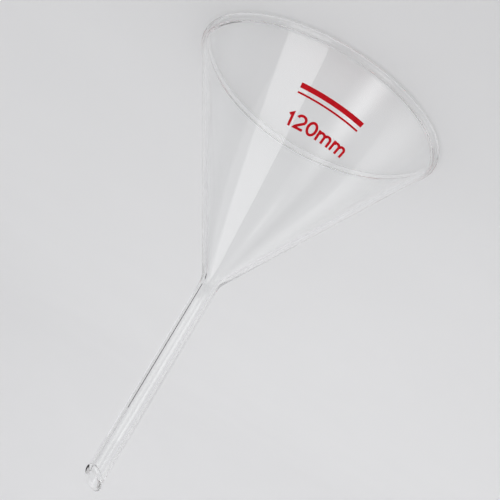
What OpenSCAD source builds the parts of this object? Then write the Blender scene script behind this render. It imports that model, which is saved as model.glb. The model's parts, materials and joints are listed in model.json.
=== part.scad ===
// Conical glass funnel, one piece: a rolled rim, a 60 degree cone, a blended throat and a
// straight stem whose end is cut at a slant and fire-polished to a swollen lip.
// It stands mouth down: the origin is the centre of the mouth, on the surface that it stands on,
// +Z runs up the axis to the stem's tip, and -Y is the front.

/* [Cone] */
// Outside diameter of the mouth, over the rolled rim
rim_d = 120; // [90:1:150]
// Full angle of the cone
cone_angle = 60; // [50:1:70]
// Thickness of the glass in the cone
wall = 2.2; // [1.6:0.1:3]

/* [Rolled rim] */
// How far the rolled rim stands out from the outside face of the cone
rim_out = 0.5; // [0.2:0.1:1.2]
// How far the rolled rim stands in from the inside face of the cone
rim_in = 1.1; // [0.2:0.1:1.6]
// Radius of the hollows between the rolled rim and the faces of the cone
rim_blend_r = 2.5; // [1:0.5:4]

/* [Stem] */
// Outside diameter of the stem
stem_d = 8.6; // [8:0.1:12]
// Diameter of the bore
bore_d = 5.2; // [4.5:0.1:6.6]
// Length of the stem, from the throat to the middle of its slanted end
stem_l = 94; // [40:0.5:160]

/* [Throat] */
// Radius of the blend between cone and stem, outside
throat_r = 10; // [4:1:20]
// Radius of the blend between cone and bore, inside
throat_bore_r = 12; // [4:1:24]

/* [Tip] */
// Angle of the slanted end, from square to the stem
cut_angle = 39; // [20:1:55]
// Turn of the slanted end about the axis, from facing the front
cut_turn = 45; // [-180:1:180]
// How far the fire-polished lip stands out from the outside of the stem
lip_out = 0.4; // [0.2:0.1:0.8]

/* [Hidden] */
$fn = 180;
glass = [0.86, 0.9, 0.9, 0.35];
// Room by which a cut runs past the faces that it opens
past = 5;
// Depth by which an arc bites into the faces that it joins
bite = 0.002;
// Depth of the lip that the bore trims away
lip_trim = 0.1;

half = cone_angle / 2;
stem_r = stem_d / 2;
bore_r = bore_d / 2;

// Sections lie in the half plane of radius and height. The cone's wall starts at the centre of the rolled
// rim, and each face of it lies at its own distance from there, along the cone's outward normal.
outward = [cos(half), sin(half)];
up_wall = [-sin(half), cos(half)];
rim_r = (wall + rim_out + rim_in) / 2;
rim_at = [rim_d / 2 - rim_r, rim_r];
outer_off = rim_r - rim_out;
inner_off = rim_in - rim_r;

// Height at which the line parallel to the cone, at distance off from the rim's centre, has radius r
function height_at(r, off) = rim_at[1] + (off - (r - rim_at[0]) * outward[0]) / outward[1];

// Centre of the arc that joins the rolled rim to the face at distance off; side is 1 outside, -1 inside
function rim_blend_at(off, side) =
    let (reach = side * off + rim_blend_r, along = sqrt(pow(rim_r + rim_blend_r, 2) - pow(reach, 2)))
    rim_at + side * reach * outward + along * up_wall;

// Centre of the arc of radius blend_r that joins the face at distance off to the upright face of radius r
function throat_at(r, off, blend_r) = [r + blend_r, height_at(r + blend_r, off + blend_r)];

rim_blend_out = rim_blend_at(outer_off, 1);
rim_blend_in = rim_blend_at(inner_off, -1);
throat_out = throat_at(stem_r, outer_off, throat_r);
throat_in = throat_at(bore_r, inner_off, throat_bore_r);

// The slanted end crosses the axis at tip_z. The lip on it is a ring with a round section.
tip_z = height_at(stem_r, outer_off) + stem_l;
lip_r = (stem_r + lip_out - bore_r + lip_trim) / 2;
lip_ring_r = stem_r + lip_out - lip_r;
tip_top = tip_z + lip_ring_r * tan(cut_angle) + lip_r / cos(cut_angle);

// Outline of the outside, filled in to the axis
module outside_section() {
    difference() {
        polygon([
            [0, rim_at[1]], rim_at, rim_blend_out, rim_blend_out - rim_blend_r * outward,
            throat_out - throat_r * outward, [stem_r, throat_out[1]], [stem_r, tip_top], [0, tip_top]
        ]);
        translate(rim_blend_out) circle(rim_blend_r + bite);
        translate(throat_out) circle(throat_r + bite);
    }
    translate(rim_at) circle(rim_r);
}

// The hollow: mouth, inside of the cone, throat and bore
module hollow_section() {
    difference() {
        union() {
            polygon([
                [0, -past], [rim_at[0], -past], rim_at, rim_blend_in, rim_blend_in + rim_blend_r * outward,
                throat_in - throat_bore_r * outward, [bore_r, throat_in[1]],
                [bore_r, tip_top + past], [0, tip_top + past]
            ]);
            translate(rim_blend_in) circle(rim_blend_r + bite);
        }
        translate(rim_at) circle(rim_r);
        translate(throat_in) circle(throat_bore_r + bite);
    }
}

// Everything above the slanted plane through the middle of the tip
module above_cut() {
    size = 4 * tip_top;
    translate([0, 0, tip_z])
        rotate([cut_angle, 0, 0])
            translate([-size / 2, -size / 2, 0])
                cube(size);
}

// The swollen lip: a ring that is sheared upright, so that it follows the slanted edge
module lip() {
    translate([0, 0, tip_z])
        multmatrix([[1, 0, 0, 0], [0, 1, 0, 0], [0, tan(cut_angle), 1, 0], [0, 0, 0, 1]])
            rotate_extrude()
                translate([lip_ring_r, 0])
                    circle(lip_r);
}

module funnel() {
    color(glass)
        rotate([0, 0, cut_turn])
            difference() {
                union() {
                    difference() {
                        rotate_extrude() outside_section();
                        above_cut();
                    }
                    lip();
                }
                rotate_extrude() hollow_section();
            }
}

funnel();
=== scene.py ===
"""Conical glass funnel: the glass, the red print on it, and a pale stage for a picture of it."""
import json
import math

import bpy
import numpy as np
from mathutils import Matrix, Vector


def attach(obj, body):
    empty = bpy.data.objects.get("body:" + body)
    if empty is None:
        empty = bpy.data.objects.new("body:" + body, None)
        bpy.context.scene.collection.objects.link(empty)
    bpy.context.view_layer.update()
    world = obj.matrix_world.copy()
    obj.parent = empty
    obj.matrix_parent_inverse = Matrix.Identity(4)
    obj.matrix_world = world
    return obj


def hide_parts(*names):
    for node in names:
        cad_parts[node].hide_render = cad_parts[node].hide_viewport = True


bl_info = {
    "name": "Conical glass funnel",
    "version": (1, 0, 0),
    "blender": (4, 5, 0),
    "location": "3D View > Sidebar > Funnel",
    "description": "Turns a glass funnel with a slanted tip, prints its size and sets a stage",
    "category": "Add Mesh",
}

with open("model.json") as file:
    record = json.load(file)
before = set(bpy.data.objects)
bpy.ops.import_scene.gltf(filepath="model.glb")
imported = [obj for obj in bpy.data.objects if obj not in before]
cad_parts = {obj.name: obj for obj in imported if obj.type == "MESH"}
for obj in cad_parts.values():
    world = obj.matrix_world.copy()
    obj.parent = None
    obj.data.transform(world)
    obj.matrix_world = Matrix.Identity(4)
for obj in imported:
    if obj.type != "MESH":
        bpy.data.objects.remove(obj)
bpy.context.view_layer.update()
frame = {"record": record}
MM = 0.001
TAU = 2 * math.pi
MOUNTS = {mount["name"]: mount for mount in frame["record"]["mounts"]}
BORE_RADIUS = MOUNTS["stem_bore"]["dims"]["r_mm"] * MM

# Points of the glass section on a hollow or throat, on the lip, round the rim and on a straight run
BLEND_POINTS = 13
LIP_POINTS = 29
RIM_POINTS = 81
RUN_POINTS = 9
# Columns of points round the axis, of the glass and of the floor
GLASS_COLUMNS = 480
FLOOR_COLUMNS = 128
# Longest straight step of a printed stroke that bends over the cone
BEND_STEP = 0.6 * MM
# Radius out to which the floor is level, radius of the quarter circle in which it rises, height of its top
LEVEL = 1.1
COVE = 0.6
FLOOR_TOP = 0.9


class FunnelSizes(bpy.types.PropertyGroup):
    """Sizes of the glass"""

    rim_diameter: bpy.props.FloatProperty(
        name="Rim diameter", description="Outside diameter over the rolled rim",
        default=120 * MM, unit="LENGTH", precision=4)
    cone_angle: bpy.props.FloatProperty(
        name="Cone angle", description="Full angle of the cone",
        default=math.radians(60), subtype="ANGLE")
    wall: bpy.props.FloatProperty(
        name="Wall", description="Thickness of the glass in the cone",
        default=2.2 * MM, unit="LENGTH", precision=4)
    rim_out: bpy.props.FloatProperty(
        name="Rim outside", description="How far the rolled rim stands out from the cone",
        default=0.5 * MM, unit="LENGTH", precision=4)
    rim_in: bpy.props.FloatProperty(
        name="Rim inside", description="How far the rolled rim stands in from the cone",
        default=1.1 * MM, unit="LENGTH", precision=4)
    rim_blend: bpy.props.FloatProperty(
        name="Rim blend", description="Radius of the hollows between rim and cone",
        default=2.5 * MM, unit="LENGTH", precision=4)
    stem_diameter: bpy.props.FloatProperty(
        name="Stem diameter", description="Outside diameter of the stem",
        default=8.6 * MM, unit="LENGTH", precision=4)
    bore_radius: bpy.props.FloatProperty(
        name="Bore radius", description="Radius of the bore, as the record states it",
        default=BORE_RADIUS, unit="LENGTH", precision=4)
    stem_length: bpy.props.FloatProperty(
        name="Stem length", description="From the throat to the middle of the slanted end",
        default=94 * MM, unit="LENGTH", precision=4)
    throat_outside: bpy.props.FloatProperty(
        name="Throat outside", description="Radius of the blend between cone and stem",
        default=10 * MM, unit="LENGTH", precision=4)
    throat_inside: bpy.props.FloatProperty(
        name="Throat inside", description="Radius of the blend between cone and bore",
        default=12 * MM, unit="LENGTH", precision=4)
    cut_angle: bpy.props.FloatProperty(
        name="Cut angle", description="Slant of the stem's end, from square to the stem",
        default=math.radians(39), subtype="ANGLE")
    cut_turn: bpy.props.FloatProperty(
        name="Cut turn", description="Turn of the slanted end about the axis, from facing the front",
        default=math.radians(45), subtype="ANGLE")
    lip_out: bpy.props.FloatProperty(
        name="Lip", description="How far the fire-polished lip stands out from the stem",
        default=0.4 * MM, unit="LENGTH", precision=4)


class PrintSizes(bpy.types.PropertyGroup):
    """Sizes of the red print"""

    letter_height: bpy.props.FloatProperty(
        name="Letter height", description="Height of a figure of the size mark",
        default=6.3 * MM, unit="LENGTH", precision=4)
    letter_width: bpy.props.FloatProperty(
        name="Letter width", description="Widening of the figures of the size mark",
        default=1.03)
    stroke: bpy.props.FloatProperty(
        name="Stroke", description="Width of a printed stroke",
        default=1.1 * MM, unit="LENGTH", precision=4)
    size_line: bpy.props.FloatProperty(
        name="Size line", description="Height above the rim of the foot of the size mark",
        default=34.5 * MM, unit="LENGTH", precision=4)
    size_shift: bpy.props.FloatProperty(
        name="Size shift", description="How far the size mark is moved to its own right from the front",
        default=1.5 * MM, unit="LENGTH", precision=4)
    size_tilt: bpy.props.FloatProperty(
        name="Size tilt", description="Tilt of the size mark, up to the right",
        default=math.radians(2.2), subtype="ANGLE")
    rule_line: bpy.props.FloatProperty(
        name="Rule line", description="Height above the rim of the middle of the double rule",
        default=21.5 * MM, unit="LENGTH", precision=4)
    rule_length: bpy.props.FloatProperty(
        name="Rule length", description="Length of the double rule",
        default=30 * MM, unit="LENGTH", precision=4)
    ink_proud: bpy.props.FloatProperty(
        name="Ink", description="How far the fired ink stands proud of the glass",
        default=0.04 * MM, unit="LENGTH", precision=5)


class FunnelLook(bpy.types.PropertyGroup):
    """Colours and finishes"""

    glass_tint: bpy.props.FloatVectorProperty(
        name="Glass", description="Tint of the glass", subtype="COLOR", size=3,
        default=(0.99, 0.993, 0.993), min=0, max=1)
    glass_ior: bpy.props.FloatProperty(
        name="Index", description="Index of refraction of borosilicate glass", default=1.474)
    ink_colour: bpy.props.FloatVectorProperty(
        name="Ink", description="Red of the print", subtype="COLOR", size=3,
        default=(0.6, 0.0008, 0.009), min=0, max=1)


class StageLook(bpy.types.PropertyGroup):
    """Floor, lamp, panels and camera"""

    paper_colour: bpy.props.FloatVectorProperty(
        name="Paper", description="Pale paper of floor and backdrop", subtype="COLOR", size=3,
        default=(0.70, 0.70, 0.71), min=0, max=1)
    surroundings: bpy.props.FloatProperty(
        name="Surroundings", description="Brightness of the room around the stage", default=0.78)
    overhead: bpy.props.FloatProperty(
        name="Overhead", description="Brightness of the room straight overhead", default=0.4)
    top_lamp: bpy.props.FloatProperty(
        name="Top lamp", description="Power of the large lamp overhead", default=25.3, unit="POWER")
    side_panel: bpy.props.FloatProperty(
        name="Side panel", description="Glow of the tall panel beside the camera", default=1.95)
    fill_panel: bpy.props.FloatProperty(
        name="Fill panel", description="Glow in the middle of the wide soft panel on the other side",
        default=1.45)
    small_panel: bpy.props.FloatProperty(
        name="Small panel", description="Glow in the middle of the small soft panel on the other side",
        default=2.8)
    low_panel: bpy.props.FloatProperty(
        name="Low panel", description="Glow of the panels below and above the small one", default=1.5)
    lens: bpy.props.FloatProperty(
        name="Lens", description="Focal length of the camera", default=78.48, unit="CAMERA")


class Wire:
    """A value on its way through a tree of nodes. Sums, differences, products and powers of wires add Math
    nodes. A wire without a socket is the start of a tree."""

    def __init__(self, tree, socket=None):
        self.tree = tree
        self.socket = socket

    def node(self, kind, settings=None, sockets=None, output=0):
        """Any node: its type, its settings, which are set first, and the values or wires of its sockets. The
        wire that leaves its output comes back."""
        node = self.tree.nodes.new(kind)
        for name, value in (settings or {}).items():
            setattr(node, name, value)
        for name, value in (sockets or {}).items():
            if isinstance(value, Wire):
                self.tree.links.new(value.socket, node.inputs[name])
            else:
                node.inputs[name].default_value = value
        return Wire(self.tree, node.outputs[output]) if node.outputs else None

    def math(self, operation, first, second):
        """A Math node with two values"""
        return self.node("ShaderNodeMath", {"operation": operation}, {0: first, 1: second})

    def __add__(self, other):
        return self.math("ADD", self, other)

    def __radd__(self, other):
        return self.math("ADD", other, self)

    def __sub__(self, other):
        return self.math("SUBTRACT", self, other)

    def __rsub__(self, other):
        return self.math("SUBTRACT", other, self)

    def __mul__(self, other):
        return self.math("MULTIPLY", self, other)

    def __rmul__(self, other):
        return self.math("MULTIPLY", other, self)

    def __pow__(self, other):
        return self.math("POWER", self, other)

    def __rpow__(self, other):
        return self.math("POWER", other, self)


def new_material(name):
    """A material without nodes, and the start of its tree"""
    material = bpy.data.materials.new(name)
    material.use_nodes = True
    material.node_tree.nodes.clear()
    return material, Wire(material.node_tree)


def show(surface):
    """The material's output node, which shows a surface"""
    surface.node("ShaderNodeOutputMaterial", {}, {"Surface": surface})


def noise(place, scale, detail):
    """Clouds between 0 and 1: the scale is their number in a metre, the detail adds finer layers"""
    return place.node("ShaderNodeTexNoise", {}, {"Vector": place, "Scale": scale, "Detail": detail})


def graded(value, low, high, at_low=0.0, at_high=1.0):
    """A straight change from one level to another while the value goes from low to high, none beyond them"""
    return value.node("ShaderNodeMapRange", {"clamp": True}, {
        "Value": value, "From Min": low, "From Max": high, "To Min": at_low, "To Max": at_high})


def blended(share, first, second):
    """A colour on the way from the first to the second, by a share between 0 and 1"""
    return share.node("ShaderNodeMix", {"data_type": "RGBA"}, {0: share, 6: first, 7: second}, output=2)


def bumped(height, strength, distance):
    """The normal of a surface with a fine relief: a height of 1 stands out by the distance"""
    return height.node("ShaderNodeBump", {}, {"Height": height, "Strength": strength, "Distance": distance})


def glass_finish(look):
    """Clear glass: faint waves and fine lines from drawing in the surface, and a trace of haze in patches.
    Light to and from the paper goes straight through it, less so at a slant, which leaves a pale shadow."""
    material, start = new_material("clear_glass")
    place = start.node("ShaderNodeTexCoord", output="Object")
    wave = noise(place, scale=45.0, detail=1.0)
    stretched = start.node("ShaderNodeMapping", {}, {"Vector": place, "Scale": (1400.0, 1400.0, 12.0)})
    drawn = noise(stretched, scale=1.0, detail=2.0)
    relief = bumped(wave * 0.8 + drawn * 0.002, strength=0.25, distance=0.12 * MM)
    patches = noise(place, scale=90.0, detail=4.0)
    haze = graded(patches, low=0.5, high=0.8, at_low=0.0, at_high=0.035)
    glass = start.node("ShaderNodeBsdfPrincipled", {}, {
        "Base Color": (*look.glass_tint, 1), "Roughness": haze, "IOR": look.glass_ior,
        "Transmission Weight": 1.0, "Normal": relief})
    shadow = start.node("ShaderNodeLightPath", output="Is Shadow Ray")
    diffuse = start.node("ShaderNodeLightPath", output="Is Diffuse Ray")
    edge = start.node("ShaderNodeLayerWeight", {}, {"Blend": 0.5}, output="Facing")
    facing_share, steepness = 0.99, 5.0
    passes = (shadow + diffuse) * (facing_share - facing_share * edge ** steepness)
    clear = start.node("ShaderNodeBsdfTransparent")
    show(start.node("ShaderNodeMixShader", {}, {"Fac": passes, 1: glass, 2: clear}))
    return material


def ink_finish(look):
    """Fired red ink: denser and thinner patches, a satin surface with a fine grain"""
    material, start = new_material("fired_red_ink")
    place = start.node("ShaderNodeTexCoord", output="Object")
    grain = noise(place, scale=5200.0, detail=2.0)
    thin = graded(noise(place, scale=700.0, detail=3.0), low=0.35, high=0.7)
    red = look.ink_colour
    pale = (min(1, 1.2 * c + 0.005) for c in red)
    show(start.node("ShaderNodeBsdfPrincipled", {}, {
        "Base Color": blended(thin, (*red, 1), (*pale, 1)), "Roughness": 0.32 + 0.2 * grain,
        "Specular IOR Level": 0.15, "Normal": bumped(grain, strength=0.3, distance=0.02 * MM)}))
    return material


def paper_finish(colour):
    """Pale matt paper with faint clouds and a tooth, grey where it has risen. Painted shade darkens it to
    the front, a painted shadow of the funnel darkens it to +X, and painted light makes it paler where it
    starts to rise
    """
    material, start = new_material("pale_paper")
    place = start.node("ShaderNodeTexCoord", output="Object")
    dark, light, grey = ((*(c * level for c in colour), 1) for level in (0.985, 1.015, 0.6))
    shade = blended(noise(place, scale=9.0, detail=2.0), dark, light)
    side, depth, height = (
        start.node("ShaderNodeSeparateXYZ", {}, {"Vector": place}, output=axis) for axis in "XYZ")
    # Painted shade, darker to the front; painted shadow of the funnel, darker to +X; painted light, paler low
    # on the rise
    far = graded(depth, low=-0.25, high=0.1, at_low=0.96, at_high=1.015)
    across = graded(side, low=-0.15, high=0.15, at_low=1.022, at_high=0.978)
    back = graded(height, low=0.0, high=0.2, at_low=1.0, at_high=1.03)
    # The painted light and shade together scale the paper's colour
    scale = far * across * back
    shade = start.node("ShaderNodeVectorMath", {"operation": "SCALE"}, {0: shade, "Scale": scale})
    risen = graded(height, low=0.36, high=0.7)
    tooth = noise(place, scale=1500.0, detail=2.0)
    show(start.node("ShaderNodeBsdfPrincipled", {}, {
        "Base Color": blended(risen, shade, grey), "Roughness": 0.85,
        "Specular IOR Level": 0.1, "Normal": bumped(tooth, strength=0.05, distance=0.1 * MM)}))
    return material


def put_mesh(name, points, faces, material, smooth=True):
    """A mesh object at the origin, from whole arrays of points and of faces"""
    mesh = bpy.data.meshes.new(name)
    mesh.from_pydata(points.tolist(), [], [list(face) for face in faces])
    mesh.polygons.foreach_set("use_smooth", np.full(len(mesh.polygons), smooth))
    mesh.update()
    mesh.validate()
    mesh.materials.append(material)
    piece = bpy.data.objects.new(name, mesh)
    bpy.context.scene.collection.objects.link(piece)
    return piece


def grid_faces(rows, columns, close_rows=False, close_columns=False):
    """Quads between neighbours of a grid, whose last row or column may join the first"""
    last_row, last_column = rows - (not close_rows), columns - (not close_columns)
    i, j = np.meshgrid(np.arange(last_row), np.arange(last_column), indexing="ij")
    next_i, next_j = (i + 1) % rows, (j + 1) % columns
    corners = (i * columns + j, i * columns + next_j, next_i * columns + next_j, next_i * columns + j)
    return np.stack([c.ravel() for c in corners], axis=1)


def turned(radius, height, columns):
    """A section turned about the axis, as rows of points: x = r cos a, y = r sin a, z = the height, which has
    one column or as many as there are angles a"""
    angle = np.arange(columns) * TAU / columns
    radius = radius[:, None]
    x, y, z = np.broadcast_arrays(radius * np.cos(angle), radius * np.sin(angle), height)
    return np.stack([x, y, z], axis=-1).reshape(-1, 3)


def arc(centre, radius, start, end, count):
    """Points at equal angles on a circle, from start to end, in degrees"""
    angle = np.radians(np.linspace(start, end, count))
    return np.asarray(centre) + radius * np.stack([np.cos(angle), np.sin(angle)], axis=1)


def steps(count):
    """Shares of a straight run, without its ends: one close to each end, the rest at equal steps"""
    near_end = 0.004
    return np.concatenate([[near_end], np.linspace(0, 1, count)[1:-1], [1 - near_end]])


def line(start, end, count):
    """Points on a straight line, without its ends, at the shares of steps"""
    share = steps(count)[:, None]
    return (1 - share) * np.asarray(start) + share * np.asarray(end)


class GlassSection:
    """Half section of the glass. The cone's wall starts at the centre of the rolled rim, and each face of it
    lies at its own distance from there, along the cone's outward normal. Arcs touch the faces they join."""

    def __init__(self, sizes):
        half = sizes.cone_angle / 2
        self.sizes = sizes
        self.lean = math.degrees(half)
        self.outward = np.array([math.cos(half), math.sin(half)])
        self.up_wall = np.array([-math.sin(half), math.cos(half)])
        self.rim_radius = (sizes.wall + sizes.rim_out + sizes.rim_in) / 2
        self.rim = np.array([sizes.rim_diameter / 2 - self.rim_radius, self.rim_radius])
        self.outside = self.rim_radius - sizes.rim_out
        self.inside = sizes.rim_in - self.rim_radius
        self.stem_radius = sizes.stem_diameter / 2
        self.bore_radius = sizes.bore_radius
        self.tip = self.height_at(self.stem_radius, self.outside) + sizes.stem_length
        lip_trim = 0.1 * MM
        self.lip_radius = (self.stem_radius + sizes.lip_out - self.bore_radius + lip_trim) / 2
        self.lip_ring = self.stem_radius + sizes.lip_out - self.lip_radius

    def height_at(self, radius, distance):
        """Height at which the line parallel to the cone, at a distance from the rim's centre, has a radius"""
        return self.rim[1] + (distance - (radius - self.rim[0]) * self.outward[0]) / self.outward[1]

    def radius_at(self, height, distance):
        """Radius of that line at a height"""
        return self.rim[0] + (distance - (height - self.rim[1]) * self.outward[1]) / self.outward[0]

    def rim_blend(self, distance, side):
        """Centre of the hollow that joins the rolled rim to a face; side is 1 outside and -1 inside"""
        blend = self.sizes.rim_blend
        reach = side * distance + blend
        along = math.sqrt((self.rim_radius + blend) ** 2 - reach ** 2)
        return self.rim + side * reach * self.outward + along * self.up_wall

    def throat(self, radius, distance, blend):
        """Centre of the arc that joins a face of the cone to the upright face of a radius"""
        return np.array([radius + blend, self.height_at(radius + blend, distance + blend)])

    def loop(self):
        """The closed outline, from the outer hollow of the rim up to the tip and back down the inside; with
        it the share of the slant that each point takes, which grows along the stem from none to all"""
        sizes, lean, blend = self.sizes, self.lean, self.sizes.rim_blend
        outer, inner = self.rim_blend(self.outside, 1), self.rim_blend(self.inside, -1)
        to_outer, to_inner = (math.degrees(math.atan2(*(c - self.rim)[::-1])) for c in (outer, inner))
        throat_out = self.throat(self.stem_radius, self.outside, sizes.throat_outside)
        throat_in = self.throat(self.bore_radius, self.inside, sizes.throat_inside)
        lip_from = -math.degrees(math.acos((self.stem_radius - self.lip_ring) / self.lip_radius))
        lip_to = math.degrees(math.acos((self.bore_radius - self.lip_ring) / self.lip_radius))

        outer_hollow = arc(outer, blend, to_outer - 180, lean - 180, BLEND_POINTS)
        outer_throat = arc(throat_out, sizes.throat_outside, lean + 180, 180, BLEND_POINTS)
        lip = arc((self.lip_ring, self.tip), self.lip_radius, lip_from, lip_to, LIP_POINTS)
        inner_throat = arc(throat_in, sizes.throat_inside, 180, lean + 180, BLEND_POINTS)
        inner_hollow = arc(inner, blend, lean, to_inner - 180, BLEND_POINTS)
        bead = arc(self.rim, self.rim_radius, to_inner, to_outer + 360, RIM_POINTS)[1:-1]
        runs = [
            (outer_hollow, "none"),
            (line(outer_hollow[-1], outer_throat[0], RUN_POINTS), "none"),
            (outer_throat, "none"),
            (line(outer_throat[-1], lip[0], RUN_POINTS), "grows"),
            (lip, "all"),
            (line(lip[-1], inner_throat[0], RUN_POINTS), "shrinks"),
            (inner_throat, "none"),
            (line(inner_throat[-1], inner_hollow[0], RUN_POINTS), "none"),
            (inner_hollow, "none"),
            (bead, "none"),
        ]
        share = {"none": np.zeros, "grows": steps, "all": np.ones, "shrinks": lambda count: 1 - steps(count)}
        points = np.concatenate([run for run, _ in runs])
        return points, np.concatenate([share[slant](len(run)) for run, slant in runs])


def turned_glass(section):
    """The closed half section (r, h) turned about the axis; the height grows by the share of the slant times
    tan(cut angle) times the distance r sin(a - turn) behind the axis"""
    profile, share = section.loop()
    radius, height = profile.T
    angle = np.arange(GLASS_COLUMNS) * TAU / GLASS_COLUMNS
    behind = radius[:, None] * np.sin(angle - section.sizes.cut_turn)
    slanted = height[:, None] + share[:, None] * math.tan(section.sizes.cut_angle) * behind
    return turned(radius, slanted, GLASS_COLUMNS), grid_faces(len(profile), GLASS_COLUMNS, True, True)


def wrap(section, flat, foot, proud):
    """Flat print (u to the right, v up, in metres, from the front) laid on the outside of the cone with its
    head to the rim: v runs down the slope from the foot line and u round the cone, measured on that line"""
    u, v = flat.T
    height = foot - v * math.cos(math.radians(section.lean))
    angle = -math.pi / 2 - u / section.radius_at(foot, section.outside)
    radius = section.radius_at(height, section.outside + proud)
    return np.stack([radius * np.cos(angle), radius * np.sin(angle), height], axis=-1)


def stroke_sides(path, closed):
    """Sideways steps at the points of a flat path: the sum of the unit normals of the runs before and after a
    point, divided by its product with the second, so that both runs keep their width up to a sharp corner"""
    least_product = 0.35
    if closed:
        before, after = path - np.roll(path, 1, 0), np.roll(path, -1, 0) - path
    else:
        step = np.diff(path, axis=0)
        before, after = np.concatenate([step[:1], step]), np.concatenate([step, step[-1:]])
    before, after = (d / np.linalg.norm(d, axis=1, keepdims=True) for d in (before, after))
    side_before, side_after = (np.stack([-d[:, 1], d[:, 0]], axis=1) for d in (before, after))
    side = side_before + side_after
    return side / np.maximum((side * side_after).sum(1, keepdims=True), least_product)


def printed_stroke(section, path, width, foot, proud, closed=False):
    """A flat bar of ink: a rectangle, as wide as the stroke and from a little under the glass to the top of
    the ink, carried along a flat path that is laid on the cone; open ends are capped"""
    side = stroke_sides(path, closed) * (width / 2)
    bed = -0.5 * proud
    corners = ((-1, proud), (1, proud), (1, bed), (-1, bed))
    bars = [wrap(section, path + sign * side, foot, level) for sign, level in corners]
    points = np.stack(bars, axis=1).reshape(-1, 3)
    faces = grid_faces(len(path), len(corners), closed, True)[:, ::-1]
    if not closed:
        last = len(points) - len(corners)
        faces = np.concatenate([faces, [[0, 1, 2, 3], [last + 3, last + 2, last + 1, last]]])
    return points, faces


def fine(path, step):
    """The same path with points added on its straight runs, so that it can bend over the cone"""
    path = np.asarray(path, float)
    length = np.linalg.norm(np.diff(path, axis=0), axis=1)
    parts = [np.linspace(a, b, max(1, math.ceil(d / step)), endpoint=False)
             for a, b, d in zip(path[:-1], path[1:], length)]
    return np.concatenate([*parts, path[-1:]])


def figure_paths(stroke):
    """Centre lines of the marks, in units of a figure's height: for each mark its paths, each with whether it
    is closed, and its advance"""
    w = stroke / 2
    one = [[0.16, 0.74], [0.36, 1 - w * 1.2], [0.36, 0]]
    bow = arc((0.37, 0.69), 0.27, 165, -32, 22)
    two = np.concatenate([bow, [[0.13, w + 0.06], [0.1, w], [0.68, w]]])
    turn = np.linspace(0, TAU, 40, endpoint=False)
    zero = np.stack([0.38 + (0.29 - w * 0.2) * np.cos(turn), 0.5 + (0.5 - w) * np.sin(turn)], axis=1)
    post, tall, hump = 0.1, 0.73, 0.21

    def shoulder(x):
        """An arch from beside the upright at x, over and down to the next one"""
        top = arc((x + hump, tall - hump - w), hump, 150, 0, 14)
        return np.concatenate([[[x + w, 0.46]], top, [[x + 2 * hump, 0]]])

    em = [([[post, 0], [post, tall]], False), (shoulder(post), False), (shoulder(post + 2 * hump), False)]
    return {
        "1": ([(one, False)], 0.62),
        "2": ([(two, False)], 0.78),
        "0": ([(zero, True)], 0.78),
        "m": (em, 1.12),
    }


def size_mark(sizes):
    """Flat paths of the size mark, each with whether it is closed: the figures side by side about the middle,
    then scaled, tilted and moved to the right"""
    text = "120mm"
    tall = sizes.letter_height
    figures = figure_paths(sizes.stroke / tall)
    left = -sum(figures[mark][1] for mark in text) / 2
    cos, sin = math.cos(sizes.size_tilt), math.sin(sizes.size_tilt)
    tilt = np.array([[cos, sin], [-sin, cos]])
    scale, shift = [sizes.letter_width * tall, tall], [sizes.size_shift, 0]
    placed = []
    for mark in text:
        paths, advance = figures[mark]
        for path, closed in paths:
            flat = (np.asarray(path) + [left, 0]) * scale @ tilt + shift
            placed.append((flat if closed else fine(flat, BEND_STEP), closed))
        left += advance
    return placed


def merge(parts):
    """Points and faces of several meshes as one"""
    starts = np.cumsum([0] + [len(points) for points, _ in parts[:-1]])
    return (np.concatenate([points for points, _ in parts]),
            np.concatenate([faces + start for (_, faces), start in zip(parts, starts)]))


def ride_on_funnel(piece):
    """A finished piece moves with the funnel"""
    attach(piece, "root")


class FUNNEL_OT_glass(bpy.types.Operator):
    """Turn the glass of the funnel from its half section"""

    bl_idname = "funnel.glass"
    bl_label = "Glass"

    def execute(self, context):
        scene = context.scene
        points, faces = turned_glass(GlassSection(scene.funnel_sizes))
        piece = put_mesh("glass_funnel", points, faces, glass_finish(scene.funnel_look))
        ride_on_funnel(piece)
        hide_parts("funnel")
        return {"FINISHED"}


class FUNNEL_OT_print(bpy.types.Operator):
    """Print the size mark and a double rule on the front of the cone"""

    bl_idname = "funnel.print"
    bl_label = "Print"

    def execute(self, context):
        scene = context.scene
        sizes = scene.funnel_print
        section = GlassSection(scene.funnel_sizes)
        parts = [printed_stroke(section, flat, sizes.stroke, sizes.size_line, sizes.ink_proud, closed)
                 for flat, closed in size_mark(sizes)]
        reach = sizes.rule_length / 2
        thick_rule, thin_rule = (1.5 * MM, 2.2 * MM), (-1.6 * MM, 0.8 * MM)
        for lift, width in (thick_rule, thin_rule):
            flat = fine([[-reach, lift], [reach, lift]], BEND_STEP)
            parts.append(printed_stroke(section, flat, width, sizes.rule_line, sizes.ink_proud))
        points, faces = merge(parts)
        piece = put_mesh("size_print", points, faces, ink_finish(scene.funnel_look), smooth=False)
        ride_on_funnel(piece)
        return {"FINISHED"}


def polar(distance, azimuth, height):
    """Points at a distance d from the axis and a height, at an azimuth a in degrees, which is counted from
    the front to +X: x = d sin a, y = -d cos a"""
    a = np.radians(azimuth)
    x, y, z = np.broadcast_arrays(distance * np.sin(a), -distance * np.cos(a), height)
    return np.stack([x, y, z], axis=-1)


def floor_height(radius):
    """Height of the floor at a distance from the axis: level, then rising in a quarter circle"""
    return COVE - np.sqrt(COVE ** 2 - np.clip(radius - LEVEL, 0, COVE) ** 2)


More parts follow.
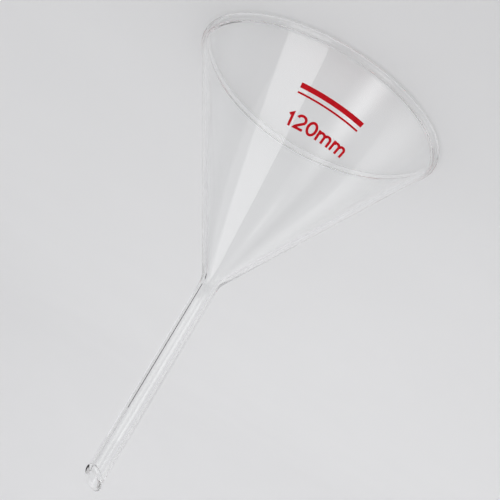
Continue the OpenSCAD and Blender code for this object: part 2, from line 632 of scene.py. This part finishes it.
def add_floor(look):
    """The paper floor: a level middle, a level ring, a cove and an upright edge, turned about the axis"""
    middle, count = 0.02, 24
    profile = np.concatenate([
        [[middle, 0]], line((middle, 0), (LEVEL, 0), count), arc((LEVEL, COVE), COVE, -90, 0, count),
        [[LEVEL + COVE, FLOOR_TOP]]])
    points = turned(profile[:, 0], profile[:, 1, None], FLOOR_COLUMNS)
    ring = grid_faces(len(profile), FLOOR_COLUMNS, False, True)[:, ::-1]
    faces = [*ring, np.arange(FLOOR_COLUMNS)]
    floor = put_mesh("paper_floor", points, faces, paper_finish(look.paper_colour))


def add_room(scene, look):
    """The room: an even glow all round, which falls off towards the point straight overhead"""
    world = bpy.data.worlds.new("room")
    world.use_nodes = True
    world.node_tree.nodes.clear()
    start = Wire(world.node_tree)
    toward = start.node("ShaderNodeTexCoord", output="Generated")
    rise = start.node("ShaderNodeSeparateXYZ", {}, {"Vector": toward}, output="Z")
    level = graded(rise, low=0.6, high=0.95, at_low=look.surroundings, at_high=look.overhead)
    room = start.node("ShaderNodeBackground", {}, {"Color": (1, 1, 1, 1), "Strength": level})
    start.node("ShaderNodeOutputWorld", {}, {"Surface": room})
    scene.world = world


def add_lamp(name, width, depth, power, place):
    """A rectangular soft lamp that shines straight down on the paper; camera and glass don't see it"""
    lamp = bpy.data.lights.new(name, "AREA")
    lamp.shape, lamp.size, lamp.size_y, lamp.energy = "RECTANGLE", width, depth, power
    obj = bpy.data.objects.new(name, lamp)
    bpy.context.scene.collection.objects.link(obj)
    obj.location = place
    obj.visible_camera = obj.visible_glossy = obj.visible_transmission = False


def add_card(name, points, glow):
    """A matt card of rows of points, black where its glow is nothing. Only light that the glass has mirrored
    meets it: straight through the glass, and past it, the card isn't there."""
    rows, columns = glow.shape
    least_peak = 0.001
    peak = max(glow.max(), least_peak)
    material, start = new_material(name)
    material.cycles.emission_sampling = "NONE"
    light = start.node("ShaderNodeAttribute", {"attribute_name": "glow"}, output="Fac")
    matt = start.node("ShaderNodeBsdfPrincipled", {}, {
        "Base Color": (0, 0, 0, 1), "Roughness": 0.9, "Specular IOR Level": 0.0,
        "Emission Color": light, "Emission Strength": peak})
    depth = start.node("ShaderNodeLightPath", output="Glossy Depth")
    mirrored = depth.math("MINIMUM", depth, 1.0)
    clear = start.node("ShaderNodeBsdfTransparent")
    show(start.node("ShaderNodeMixShader", {}, {"Fac": mirrored, 1: clear, 2: matt}))
    card = put_mesh(name, points.reshape(-1, 3), grid_faces(rows, columns), material, smooth=False)
    card.data.attributes.new("glow", "FLOAT", "POINT").data.foreach_set("value", glow.ravel() / peak)
    card.visible_camera = card.visible_diffuse = card.visible_shadow = False


def add_bent_card(name, distance, start, end, foot, head, glow, middle=None):
    """An upright card, bent round the axis between two azimuths. Its glow is even, or changes from the edges
    to the middle as the product of two half waves squared."""
    columns, rows = 41, 21
    across, up = np.meshgrid(np.linspace(0, 1, columns), np.linspace(0, 1, rows))
    hump = np.sin(math.pi * up) ** 2 * np.sin(math.pi * across) ** 2
    points = polar(distance, start + (end - start) * across, foot + (head - foot) * up)
    add_card(name, points, glow + ((middle or glow) - glow) * hump)


def add_flat_panel(name, distance, azimuth, outline, glow):
    """An upright even panel that faces the axis; its outline gives at each height the two ends of its width,
    counted sideways along the growing azimuth"""
    outline = np.array(outline)
    height, ends = outline[:, :1], outline[:, 1:]
    points = polar(distance, azimuth, height) + ends[..., None] * polar(1, azimuth + 90, 0)
    add_card(name, points, np.full(ends.shape, glow))


def add_floor_strip(name, start, end, near, far):
    """A black strip just above the floor between two azimuths, from a near to a far distance from the axis"""
    count, above = 25, 0.5 * MM
    azimuth, radius = np.meshgrid(np.linspace(start, end, count), np.linspace(far, near, count))
    add_card(name, polar(radius, azimuth, floor_height(radius) + above), np.zeros(radius.shape))


def add_cards(look):
    """What the glass mirrors: panels for the streaks on the cone and the stripes of the stem, a shade between
    them, strips on the floor for the dark lines in stem, tip and rim, and a grey card behind the camera"""
    room = look.surroundings
    add_flat_panel("side_panel", distance=0.45, azimuth=45, glow=look.side_panel, outline=(
        (0.005, -0.13, 0.16), (0.12, -0.13, 0.16), (0.17, -0.18, 0.08),
        (0.45, -0.22, 0.22), (0.62, -0.23, 0.25)))
    add_bent_card("fill_panel", distance=1.2, start=-122, end=-44, foot=0.12, head=0.78,
                  glow=room, middle=look.fill_panel)
    add_bent_card("small_panel", distance=0.9, start=-48, end=-13, foot=0.28, head=0.72,
                  glow=room, middle=look.small_panel)
    add_bent_card("upper_panel", distance=0.88, start=-41, end=-19, foot=0.68, head=0.87,
                  glow=room, middle=look.low_panel)
    add_bent_card("shade_card", distance=0.92, start=-86, end=-36, foot=0.4, head=0.86,
                  glow=room, middle=0.05)
    add_flat_panel("low_panel", distance=0.45, azimuth=-15, glow=look.low_panel, outline=(
        (0, -0.14, 0.14), (0.14, -0.14, 0.14)))
    add_floor_strip("side_strip", start=116, end=130, near=0.4, far=1.27)
    add_floor_strip("front_strip", start=-60, end=88, near=0.2, far=0.42)
    add_floor_strip("rim_strip", start=62, end=80, near=0.0605, far=0.066)
    add_bent_card("front_card", distance=1.0, start=-14, end=22, foot=0.05, head=1.2, glow=0.5)


def add_camera(scene, look):
    """The camera in front of the funnel and above it, rolled so that the stem points down to the left: it
    stands at a distance from its target, against the direction of its view"""
    forward = Vector((-0.1243, 0.9511, -0.2825)).normalized()
    right = Vector((-0.8344, -0.2543, -0.4890)).normalized()
    right = (right - right.dot(forward) * forward).normalized()
    target = Vector((-7.37, -0.96, 76.7)) * MM
    distance = 470.07 * MM
    camera = bpy.data.cameras.new("camera")
    camera.lens, camera.sensor_width = look.lens, 36
    obj = bpy.data.objects.new("camera", camera)
    scene.collection.objects.link(obj)
    axes = Matrix((right, right.cross(forward), -forward)).transposed()
    obj.matrix_world = Matrix.Translation(target - distance * forward) @ axes.to_4x4()
    scene.camera = obj


class FUNNEL_OT_stage(bpy.types.Operator):
    """Set the pale floor, the room, the lamp, the cards and the camera"""

    bl_idname = "funnel.stage"
    bl_label = "Stage"

    def execute(self, context):
        scene = context.scene
        look = scene.funnel_stage
        add_floor(look)
        add_room(scene, look)
        add_lamp("top_lamp", width=3.0, depth=2.4, power=look.top_lamp, place=(-0.5, 0.7, 1.8))
        add_cards(look)
        add_camera(scene, look)
        scene.view_settings.view_transform = "Standard"
        scene.cycles.max_bounces = scene.cycles.transmission_bounces = 96
        scene.cycles.glossy_bounces = 64
        return {"FINISHED"}


class FUNNEL_PT_panel(bpy.types.Panel):
    """The steps of the funnel, in order, and their settings"""

    bl_label = "Glass funnel"
    bl_space_type = "VIEW_3D"
    bl_region_type = "UI"
    bl_category = "Funnel"

    def draw(self, context):
        for step in STEPS:
            self.layout.operator(step.bl_idname)
        for name in GROUPS:
            box = self.layout.box()
            group = getattr(context.scene, name)
            for prop in group.bl_rna.properties:
                if prop.identifier not in ("rna_type", "name"):
                    box.prop(group, prop.identifier)


STEPS = (FUNNEL_OT_stage, FUNNEL_OT_glass, FUNNEL_OT_print)
GROUPS = {"funnel_sizes": FunnelSizes, "funnel_print": PrintSizes,
          "funnel_look": FunnelLook, "funnel_stage": StageLook}


def register():
    """Make the settings, the steps and the panel known"""
    for cls in (*GROUPS.values(), *STEPS, FUNNEL_PT_panel):
        bpy.utils.register_class(cls)
    for name, cls in GROUPS.items():
        setattr(bpy.types.Scene, name, bpy.props.PointerProperty(type=cls))


def unregister():
    """Take them away again"""
    for name in GROUPS:
        delattr(bpy.types.Scene, name)
    for cls in reversed((*GROUPS.values(), *STEPS, FUNNEL_PT_panel)):
        bpy.utils.unregister_class(cls)


def main():
    """Make the scene"""
    register()
    bpy.ops.funnel.stage()
    bpy.ops.funnel.glass()
    bpy.ops.funnel.print()


if __name__ == "__main__":
    main()
